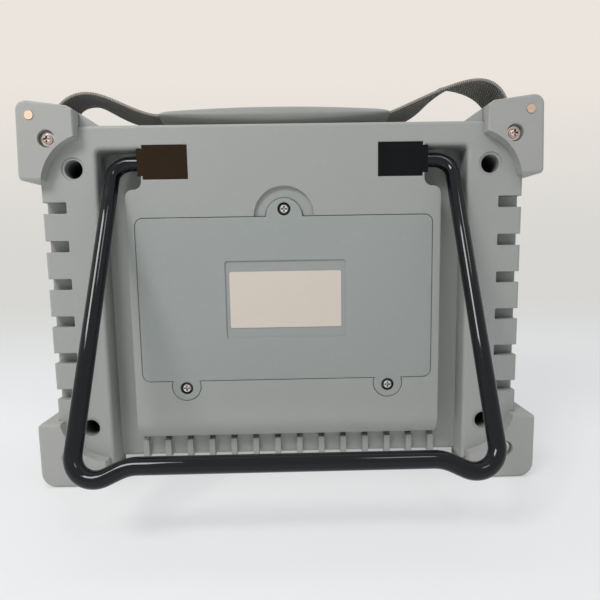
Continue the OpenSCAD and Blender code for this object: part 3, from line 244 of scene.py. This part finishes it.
# Washers under the guard screws are copper and their heads are paler
rearScrewSteel = dict(plainSteel, colour=(0.8, 0.64, 0.58), second=(0.95, 0.82, 0.76),
                      ring=(0.8, 0.5, 0.34), reach=0.0014, ringFrom=-3.6, ringWay=1)
frontScrewSteel = dict(rearScrewSteel, ringFrom=83.6, ringWay=-1)
sleeveBlack = {"colour": (0.002, 0.003, 0.005), "second": (0.004, 0.006, 0.009), "dust": (0.05, 0.055, 0.06),
               "specks": 0.05, "cloudScale": 30.0, "grainScale": 700.0, "grainDepth": 0.00002, "grain": 0.08,
               "rough": 0.055, "gloss": 0.32, "edge": 0.0}
labelPale = {"colour": (0.66, 0.58, 0.51), "second": (0.7, 0.62, 0.55), "dust": (0.5, 0.45, 0.4),
             "specks": 0.06, "cloudScale": 40.0, "grainScale": 900.0, "grainDepth": 0.00002, "grain": 0.1,
             "rough": 0.32, "gloss": 0.5, "edge": 0.0002}
windowGlass = {"colour": (0.03, 0.038, 0.04), "second": (0.042, 0.052, 0.055), "border": (0.006, 0.006, 0.007),
               "middle": 28.0, "half": (65.3, 49.0), "rough": 0.06}
printWhite = dict(labelPale, colour=(0.72, 0.72, 0.7), second=(0.76, 0.76, 0.74), dust=(0.5, 0.5, 0.48),
                  specks=0.05, rough=0.5, gloss=0.3, edge=0.0)


# Window with a black printed border round the field of a screen that is off
def darkGlass(name, s):
    material, tree, shader = newMaterial(name)
    haze = noise(tree, 14.0, 3.0)
    screen = mixColours(tree, haze, s["colour"], s["second"])
    spot = splitCoords(tree)
    for axis, middle, half in (("X", s["middle"], s["half"][0]), ("Z", caseMiddle["z"], s["half"][1])):
        away = awayFrom(tree, spot[axis], middle * mm)
        outside = spread(tree, away, 0.0, 1.0, half * mm, (half + 0.3) * mm)
        screen = mixColours(tree, outside, screen, s["border"])
    tree.links.new(screen, shader.inputs["Base Color"])
    tree.links.new(spread(tree, haze, s["rough"], s["rough"] + 0.05), shader.inputs["Roughness"])
    setShader(shader, IOR=1.5, Specular_IOR_Level=0.55)
    return material


finishes = {
    "case_grey": mouldedPlastic("case grey", caseGrey),
    "guard_grey": mouldedPlastic("guard grey", guardGrey),
    "door_grey": mouldedPlastic("door grey", doorGrey),
    "grip_grey": mouldedPlastic("grip grey", gripGrey),
    "cover_brown": mouldedPlastic("cover brown", coverBrown),
    "cover_black": mouldedPlastic("cover black", coverBlack),
    "sleeve_black": mouldedPlastic("sleeve black", sleeveBlack),
    "seal_black": mouldedPlastic("seal black", rubberBlack),
    "label_white": mouldedPlastic("label pale", labelPale),
    "pack_blue": mouldedPlastic("pack blue", packBlue),
    "board_green": mouldedPlastic("board green", boardGreen),
    "key_dark": mouldedPlastic("key dark", keyRubber),
    "key_red": mouldedPlastic("key red", keyRed),
    "print_white": mouldedPlastic("print white", printWhite),
    "copper_steel": metal("copper steel", copperSteel),
    "steel": metal("plain steel", plainSteel),
    "brass": metal("yellow brass", yellowBrass),
    "window_clear": darkGlass("dark window", windowGlass),
}

finishes["rear_guard_screws"] = metal("rear guard screw steel", rearScrewSteel)
finishes["front_guard_screws"] = metal("front guard screw steel", frontScrewSteel)
finishes["strap_pin_left"] = finishes["strap_pin_right"] = metal("strap pin steel", pinSteel)

slotOf = {s["node"]: s["material_slot"] for s in frame["record"]["subparts"]}
for nodeName, piece in nodes.items():
    finish = finishes.get(nodeName, finishes.get(slotOf[nodeName]))
    if finish:
        piece.data.materials.clear()
        piece.data.materials.append(finish)
print("finishes set:", len(finishes))


# Small helpers for meshes

def finishMesh(name, mesh, material, body, smooth=True):
    bmesh.ops.recalc_face_normals(mesh, faces=mesh.faces)
    data = bpy.data.meshes.new(name)
    mesh.to_mesh(data)
    mesh.free()
    for face in data.polygons:
        face.use_smooth = smooth
    data.materials.append(material)
    piece = bpy.data.objects.new(name, data)
    bpy.context.scene.collection.objects.link(piece)
    if body:
        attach(piece, body)
    return piece


def bezierPoint(a, b, c, d, t):
    u = 1 - t
    return a * (u * u * u) + b * (3 * t * u * u) + c * (3 * t * t * u) + d * (t * t * t)


# Black rubber washers round the door screws

doorWasher = {"places": ((0, 50.5), (-58, -50.6), (58, -50.6)), "inner": 2.7, "outer": 3.55,
              "top": 0.5, "bottom": 1.88, "soft": 0.25, "steps": 40}


def makeWashers(s):
    mesh = bmesh.new()
    section = ((s["inner"], s["bottom"]), (s["inner"], s["top"] + s["soft"]), (s["inner"] + s["soft"], s["top"]),
               (s["outer"] - s["soft"], s["top"]), (s["outer"], s["top"] + s["soft"]), (s["outer"], s["bottom"]))
    for x, z in s["places"]:
        points = [mesh.verts.new(place(x + out, y, z)) for out, y in section]
        lines = [mesh.edges.new((points[i - 1], points[i])) for i in range(len(points))]
        bmesh.ops.spin(mesh, geom=points + lines, cent=place(x, 0, z), axis=(0, 1, 0), angle=math.radians(360),
                       steps=s["steps"], use_merge=True)
    finishMesh("doorWashers", mesh, finishes["seal_black"], "case")


makeWashers(doorWasher)
print("washers made")


# Plain printed signs on the keys, without words

keySigns = {"thick": 0.16, "sunk": 0.04, "arrow": 2.0, "ring": 1.9, "line": 0.45, "menuRow": 1.3,
            "gainRise": 0.9, "gainFoot": -1.6, "gainFirst": 1.5}


# A bar, ring or triangle in the key's own plane, u to the right and v up as the user sees it
def signBar(mesh, s, middle, across, up, turn=0.0):
    made = bmesh.ops.create_cube(mesh, size=1)["verts"]
    bmesh.ops.scale(mesh, verts=made, vec=(across, s["thick"], up))
    bmesh.ops.rotate(mesh, verts=made, cent=(0, 0, 0), matrix=Matrix.Rotation(math.radians(turn), 3, "Y"))
    bmesh.ops.translate(mesh, verts=made, vec=(middle[0], 0, middle[1]))


def signArrow(mesh, s, turn):
    made = bmesh.ops.create_cone(mesh, cap_ends=True, segments=3, radius1=s["arrow"], radius2=s["arrow"],
                                 depth=s["thick"])["verts"]
    bmesh.ops.rotate(mesh, verts=made, cent=(0, 0, 0), matrix=Matrix.Rotation(math.radians(90), 3, "X"))
    bmesh.ops.rotate(mesh, verts=made, cent=(0, 0, 0), matrix=Matrix.Rotation(math.radians(turn), 3, "Y"))


def signRing(mesh, s, fromTurn=0.0, share=1.0):
    corners = ((0, -0.5), (0, 0.5), (s["line"], 0.5), (s["line"], -0.5))
    points = [mesh.verts.new((s["ring"] - out, deep * s["thick"], 0)) for out, deep in corners]
    section = mesh.faces.new(points)
    bmesh.ops.rotate(mesh, verts=points, cent=(0, 0, 0), matrix=Matrix.Rotation(math.radians(fromTurn), 3, "Y"))
    closed = share == 1.0
    turned = points + list(section.edges) + ([] if closed else [section])
    bmesh.ops.spin(mesh, geom=turned, cent=(0, 0, 0), axis=(0, 1, 0), angle=math.radians(360 * share),
                   steps=32, use_merge=closed)
    if closed:
        bmesh.ops.delete(mesh, geom=[section], context="FACES_ONLY")


def signFor(mesh, s, key):
    if key in ("up", "down", "left", "right"):
        signArrow(mesh, s, {"up": 0, "left": 90, "down": 180, "right": -90}[key])
    elif key == "enter":
        signRing(mesh, s)
    elif key == "power":
        signRing(mesh, s, -60, 5 / 6)
        signBar(mesh, s, (0, 1.5), s["line"], 1.8)
    elif key == "menu":
        for row in (-1, 0, 1):
            signBar(mesh, s, (0, row * s["menuRow"]), 4.0, s["line"])
    elif key == "gain":
        for step in range(4):
            tall = s["gainRise"] * (step + 1)
            signBar(mesh, s, (s["gainFirst"] - step, s["gainFoot"] + tall / 2), s["line"] * 1.3, tall)
    else:
        signRing(mesh, s)
        signBar(mesh, s, (0, 0), s["line"], 5.0, 35)


def makeSign(s, nodeName):
    points = [vert.co for vert in nodes[nodeName].data.vertices]
    front = max(p.y for p in points) / mm
    middle = [(max(p[k] for p in points) + min(p[k] for p in points)) / 2 for k in (0, 2)]
    key = nodeName.replace("key_", "")
    mesh = bmesh.new()
    signFor(mesh, s, key)
    bmesh.ops.scale(mesh, verts=mesh.verts, vec=(mm, mm, mm))
    deep = (front + s["thick"] / 2 - s["sunk"]) * mm
    bmesh.ops.translate(mesh, verts=mesh.verts, vec=(middle[0], deep, middle[1]))
    finishMesh("sign" + key.capitalize(), mesh, finishes["print_white"], nodeName + "_cap",
               smooth=False)


for nodeName in nodes:
    if nodeName.startswith("key_") and not nodeName.startswith("key_board"):
        makeSign(keySigns, nodeName)
print("key signs made")


# Webbing of the handle

webbing = {
    "width": 29.0,
    "thick": 1.6,
    "middle": 40.0,
    "pin": (133.0, 100.6),
    "loop": 3.2,
    "foldTop": (129.6, 112.0),
    "foldLean": (-0.6, -4.0),
    "foldRise": (0.0, 5.0),
    "foldSteps": 8,
    "loopSteps": 14,
    "inGrip": 15.0,
    "gripSteps": 5,
    "steps": 26,
    "across": 8,
    "edgeSoft": 0.35,
    "blendStep": 4.0,
    "blendHeight": 100.0,
    "left": {
        "side": -1, "end": (74.0, 108.3),
        "near": [(136.35, 115.5), (125, 121.6), (115, 121.4), (103, 121.4), (86, 108.6)],
        "far": [(136.35, 120), (128, 122.2), (120.5, 122.2), (112, 122.2), (99, 106.2)],
    },
    "right": {
        "side": 1, "end": (64.0, 108.3),
        "near": [(136.35, 118), (128, 126.6), (117, 126.4), (103, 126.4), (80, 114.6)],
        "far": [(136.35, 122), (120, 129), (103, 130.4), (98.5, 130.8), (86, 104.5)],
    },
}


def webbingEdge(s, way, points):
    pin = Vector(s["pin"])
    edge = []
    fold = Vector(s["foldTop"])
    inner = pin + Vector((-s["loop"], 0))
    leaning, rising = fold + Vector(s["foldLean"]), inner + Vector(s["foldRise"])
    for i in range(s["foldSteps"]):
        edge.append(bezierPoint(fold, leaning, rising, inner, i / s["foldSteps"]))
    for i in range(s["loopSteps"]):
        angle = math.pi + math.pi * i / s["loopSteps"]
        edge.append(pin + s["loop"] * Vector((math.cos(angle), math.sin(angle))))
    start = pin + Vector((s["loop"], 0))
    first, second, peak, third, fourth = (Vector(p) for p in points)
    end = Vector(way["end"])
    for i in range(s["steps"]):
        edge.append(bezierPoint(start, first, second, peak, i / s["steps"]))
    for i in range(s["steps"] + 1):
        edge.append(bezierPoint(peak, third, fourth, end, i / s["steps"]))
    for i in range(1, s["gripSteps"] + 1):
        edge.append(end - Vector((s["inGrip"] * i / s["gripSteps"], 0)))
    return edge


def webbingCloth(name, s):
    material, tree, shader = newMaterial(name)
    weaveMap = addNode(tree, "ShaderNodeUVMap", uv_map="weave")

    def waves(scale, turn):
        mapping = addNode(tree, "ShaderNodeMapping", {"Rotation": (0, 0, math.radians(turn))})
        tree.links.new(weaveMap.outputs["UV"], mapping.inputs["Vector"])
        wave = addNode(tree, "ShaderNodeTexWave", {"Scale": scale, "Distortion": 0.4, "Detail": 1.0},
                       bands_direction="X")
        tree.links.new(mapping.outputs["Vector"], wave.inputs["Vector"])
        return wave.outputs["Fac"]

    weft = waves(s["weftScale"], s["weftTurn"])
    warp = waves(s["warpScale"], 90)
    twill = waves(s["twillScale"], s["twillTurn"])
    height = calculate(tree, "ADD", calculate(tree, "MULTIPLY", weft, warp), twill)
    split = addNode(tree, "ShaderNodeSeparateXYZ")
    tree.links.new(weaveMap.outputs["UV"], split.inputs[0])
    rim = 0.5 * s["width"]
    outward = awayFrom(tree, split.outputs["Y"], rim)
    edge = spread(tree, outward, 0.0, 1.0, rim - s["edgeFrom"], rim - s["edgeTo"])
    body = mixColours(tree, spread(tree, height, 0.0, 1.0, 0.2, 1.5), s["dark"], s["light"])
    worn = spread(tree, noise(tree, 45.0, 3.0), 0.0, 0.5, 0.35, 0.75)
    body = mixColours(tree, worn, body, s["faded"])
    thread = spread(tree, waves(s["stitchScale"], 0), 0.0, 1.0, 0.1, 0.6)
    stitched = mixColours(tree, thread, s["stitch"], s["edge"])
    tree.links.new(mixColours(tree, edge, body, stitched), shader.inputs["Base Color"])
    setShader(shader, Roughness=0.78, Specular_IOR_Level=0.3, Sheen_Weight=0.25, Sheen_Roughness=0.4)
    bumpOn(tree, shader, height, 0.0003, 0.8)
    return material


webbingLook = {"width": 0.029, "edgeFrom": 0.0005, "edgeTo": 0.0002, "weftScale": 210.0, "weftTurn": 20.0,
               "warpScale": 130.0, "twillScale": 240.0, "twillTurn": -30.0, "stitchScale": 330.0,
               "dark": (0.018, 0.019, 0.019), "light": (0.36, 0.34, 0.31), "faded": (0.25, 0.238, 0.213),
               "edge": (0.42, 0.38, 0.33), "stitch": (0.2, 0.18, 0.155)}
webbingFinish = webbingCloth("webbing", webbingLook)


def makeWebbing(name, s, way):
    near = webbingEdge(s, way, way["near"])
    far = webbingEdge(s, way, way["far"])
    along, across = len(near), s["across"]
    mesh = bmesh.new()
    weave = mesh.loops.layers.uv.new("weave")
    bmesh.ops.create_grid(mesh, x_segments=along - 1, y_segments=across, size=0.5)
    lengths = [0.0]
    for i in range(1, along):
        lengths.append(lengths[-1] + ((near[i] + far[i]) / 2 - (near[i - 1] + far[i - 1]) / 2).length)
    where = {}
    for vert in mesh.verts:
        i = round((vert.co.x + 0.5) * (along - 1))
        j = round((vert.co.y + 0.5) * across)
        where[vert] = (lengths[i] * mm, s["width"] * mm * j / across)
        spot = near[i].lerp(far[i], j / across)
        vert.co = place(way["side"] * spot.x, s["middle"] + s["width"] * (j / across - 0.5), spot.y)
    for face in mesh.faces:
        for loop in face.loops:
            loop[weave].uv = where[loop.vert]
    bmesh.ops.recalc_face_normals(mesh, faces=mesh.faces)
    piece = finishMesh(name, mesh, webbingFinish, None)
    thick = piece.modifiers.new("thickness", "SOLIDIFY")
    thick.thickness = s["thick"] * mm
    thick.offset = 0
    soft = piece.modifiers.new("soft edge", "BEVEL")
    soft.width = s["edgeSoft"] * mm
    soft.segments = 2
    soft.limit_method = "ANGLE"
    soft.angle_limit = math.radians(60)
    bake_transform(piece)
    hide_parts("strap_" + name.split("webbing")[1].lower())


makeWebbing("webbingLeft", webbing, webbing["left"])
makeWebbing("webbingRight", webbing, webbing["right"])
print("webbing made")


# Moulded grip

grip = {
    "from": -74.0, "to": 64.0, "middle": 40.0, "low": 102.5, "thick": 12.0, "halfWidth": 17.0, "waist": 0.07,
    "stations": 36,
    # share of half width, share of thickness at the middle, share at the ends
    "profile": [(0.3, 0.0, 0.24), (0.6, 0.0, 0.24), (0.88, 0.06, 0.4), (0.96, 0.18, 0.44), (1.0, 0.44, 0.52),
                (0.985, 0.5, 0.56), (0.93, 0.72, 0.62), (0.84, 0.83, 0.66), (0.5, 0.96, 0.78), (0.2, 1.0, 0.82)],
    "nose": 0.018, "noseDraw": 0.16,
    "slot": 0.42,
    "ridge": 7, "ridgeCrease": 0.85,
    "capInset": 0.7, "capDent": -0.4,
}


def makeGrip(s):
    half = s["profile"]
    ring = [(w, a, b) for w, a, b in half] + [(-w, a, b) for w, a, b in reversed(half)]
    count = len(ring)
    mesh = bmesh.new()
    bmesh.ops.create_cone(mesh, cap_ends=True, segments=count, radius1=1, radius2=1, depth=1)
    long = [e for e in mesh.edges if abs(e.verts[0].co.z - e.verts[1].co.z) > 0.5]
    bmesh.ops.subdivide_edges(mesh, edges=long, cuts=s["stations"] - 1, use_grid_fill=True)
    crease = mesh.edges.layers.float.new("crease_edge")
    ridges = (s["ridge"], count - 1 - s["ridge"])
    turnOf = {v: round(math.atan2(v.co.y, v.co.x) / (2 * math.pi) * count) % count for v in mesh.verts}
    for edge in mesh.edges:
        first, second = (turnOf[v] for v in edge.verts)
        if first == second and first in ridges:
            edge[crease] = s["ridgeCrease"]
    length = s["to"] - s["from"]
    for vert in mesh.verts:
        t = vert.co.z + 0.5
        w, mid, end = ring[turnOf[vert]]
        bow = (2 * t - 1) ** 2
        nearEnd = min(t, 1 - t)
        draw = max(0.0, 1 - nearEnd / s["nose"]) ** 2 * s["noseDraw"]
        wide = s["halfWidth"] * (1 - s["waist"] * bow) * w * (1 - draw / 3)
        tall = s["thick"] * (s["slot"] + (mid + (end - mid) * bow - s["slot"]) * (1 - draw))
        vert.co = place(s["from"] + length * t, s["middle"] + wide, s["low"] + tall)
    caps = [f for f in mesh.faces if len(f.verts) > 4]
    for cap in caps:
        bmesh.ops.inset_individual(mesh, faces=[cap], thickness=s["capInset"] * mm, depth=s["capDent"] * mm)
    piece = finishMesh("handleGrip", mesh, finishes["grip_grey"], "handle")
    smooth = piece.modifiers.new("smooth", "SUBSURF")
    smooth.levels = smooth.render_levels = 1
    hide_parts("handle_grip")


makeGrip(grip)
print("grip made")


# Pale sweep, room and lamps

stageSet = {"floor": (0.9, 0.9, 0.9), "nearGlow": 0.5, "nearShade": (0.8, 0.8, 0.81),
            "wallLow": (0.68, 0.675, 0.65), "wallHigh": (0.83, 0.78, 0.72), "wallBounce": (0.7, 0.7, 0.7),
            "fade": (0.1, 0.9), "rise": (0.1, 0.95), "frontRun": 2.5, "backRun": 1.6, "height": 2.4,
            "width": 6.0, "bend": 0.5, "belowFeet": 0.0001}


def makeSweep(s):
    mesh = bmesh.new()
    bmesh.ops.create_grid(mesh, x_segments=1, y_segments=24, size=0.5)
    flat = s["frontRun"] + s["backRun"]
    arc = s["bend"] * math.pi / 2
    for vert in mesh.verts:
        along = (vert.co.y + 0.5) * (flat + arc + s["height"])
        if along < flat:
            y, z = along - s["frontRun"], 0.0
        elif along < flat + arc:
            turn = (along - flat) / s["bend"]
            y, z = s["backRun"] + s["bend"] * math.sin(turn), s["bend"] * (1 - math.cos(turn))
        else:
            y, z = s["backRun"] + s["bend"], s["bend"] + along - flat - arc
        vert.co = Vector((vert.co.x * s["width"], y, z - s["belowFeet"]))
    data = bpy.data.meshes.new("sweep")
    mesh.to_mesh(data)
    mesh.free()
    for face in data.polygons:
        face.use_smooth = True
    data.materials.append(sweepPaper(s))
    sweep = bpy.data.objects.new("sweep", data)
    bpy.context.scene.collection.objects.link(sweep)


# 1 where the eye, a reflection or a clear piece looks, 0 where light is gathered
def seenRays(tree):
    path = addNode(tree, "ShaderNodeLightPath")
    seen = path.outputs["Is Camera Ray"]
    for ray in ("Is Glossy Ray", "Is Transmission Ray"):
        seen = calculate(tree, "MAXIMUM", seen, path.outputs[ray])
    return seen


# Plain paper that takes the shadow near the case and shows its own level further back
def sweepPaper(s):
    material, tree, shader = newMaterial("sweep paper")
    spot = splitCoords(tree)
    away = spread(tree, spot["Y"], 0.0, 1.0, *s["fade"])
    plain = spread(tree, spot["Y"], s["nearGlow"], 1.0, *s["fade"])
    tree.links.new(mixColours(tree, away, s["floor"], s["wallBounce"]), shader.inputs["Base Color"])
    setShader(shader, Roughness=0.9, Specular_IOR_Level=0.1)
    rise = spread(tree, spot["Z"], 0.0, 1.0, *s["rise"])
    glow = addNode(tree, "ShaderNodeEmission")
    wall = mixColours(tree, rise, s["wallLow"], s["wallHigh"])
    tree.links.new(mixColours(tree, away, s["nearShade"], wall), glow.inputs["Color"])
    mix = addNode(tree, "ShaderNodeMixShader")
    tree.links.new(calculate(tree, "MULTIPLY", seenRays(tree), plain), mix.inputs[0])
    tree.links.new(shader.outputs[0], mix.inputs[1])
    tree.links.new(glow.outputs[0], mix.inputs[2])
    tree.links.new(mix.outputs[0], tree.nodes["Material Output"].inputs["Surface"])
    return material


lamps = {
    "softbox": {"spot": (-0.5, -0.62, 0.85), "aim": (-0.3, 0, 0.12), "size": (0.36, 0.32), "power": 5.8,
                "colour": (1, 0.985, 0.96)},
    "window": {"spot": (0.35, -0.8, 1.2), "aim": (0, 0, 0.1), "size": (0.24, 0.24), "power": 1.3,
               "colour": (0.94, 0.97, 1)},
    "behind": {"spot": (0.2, 0.9, 1.8), "aim": (0, 0, 0.1), "size": (2.2, 1.6), "power": 3.5,
               "colour": (0.97, 0.99, 1)},
}
roomSet = {"low": (0.07, 0.08, 0.09), "high": (0.85, 0.88, 0.9), "from": 0.1, "to": 0.9,
           "seen": (0.68, 0.675, 0.65)}


def addLamp(name, s):
    data = bpy.data.lights.new(name, "AREA")
    data.shape = "RECTANGLE"
    data.size, data.size_y = s["size"]
    data.energy = s["power"]
    data.color = s["colour"]
    lamp = bpy.data.objects.new(name, data)
    bpy.context.scene.collection.objects.link(lamp)
    lamp.location = s["spot"]
    lamp.rotation_euler = (Vector(s["aim"]) - Vector(s["spot"])).to_track_quat("-Z", "Y").to_euler()


# The room is dark at eye level and bright overhead
# The eye and reflections see the backdrop's tone instead
def makeRoom(s):
    world = bpy.data.worlds.new("room")
    bpy.context.scene.world = world
    world.use_nodes = True
    tree = world.node_tree
    height = spread(tree, splitCoords(tree, "Generated")["Z"], 0.0, 1.0, s["from"], s["to"])
    room = mixColours(tree, height, s["low"], s["high"])
    shown = mixColours(tree, seenRays(tree), room, s["seen"])
    tree.links.new(shown, tree.nodes["Background"].inputs["Color"])


makeSweep(stageSet)
makeRoom(roomSet)
for lampName, lampSet in lamps.items():
    addLamp(lampName, lampSet)
bpy.context.scene.view_settings.view_transform = "Standard"
print("stage and light made")
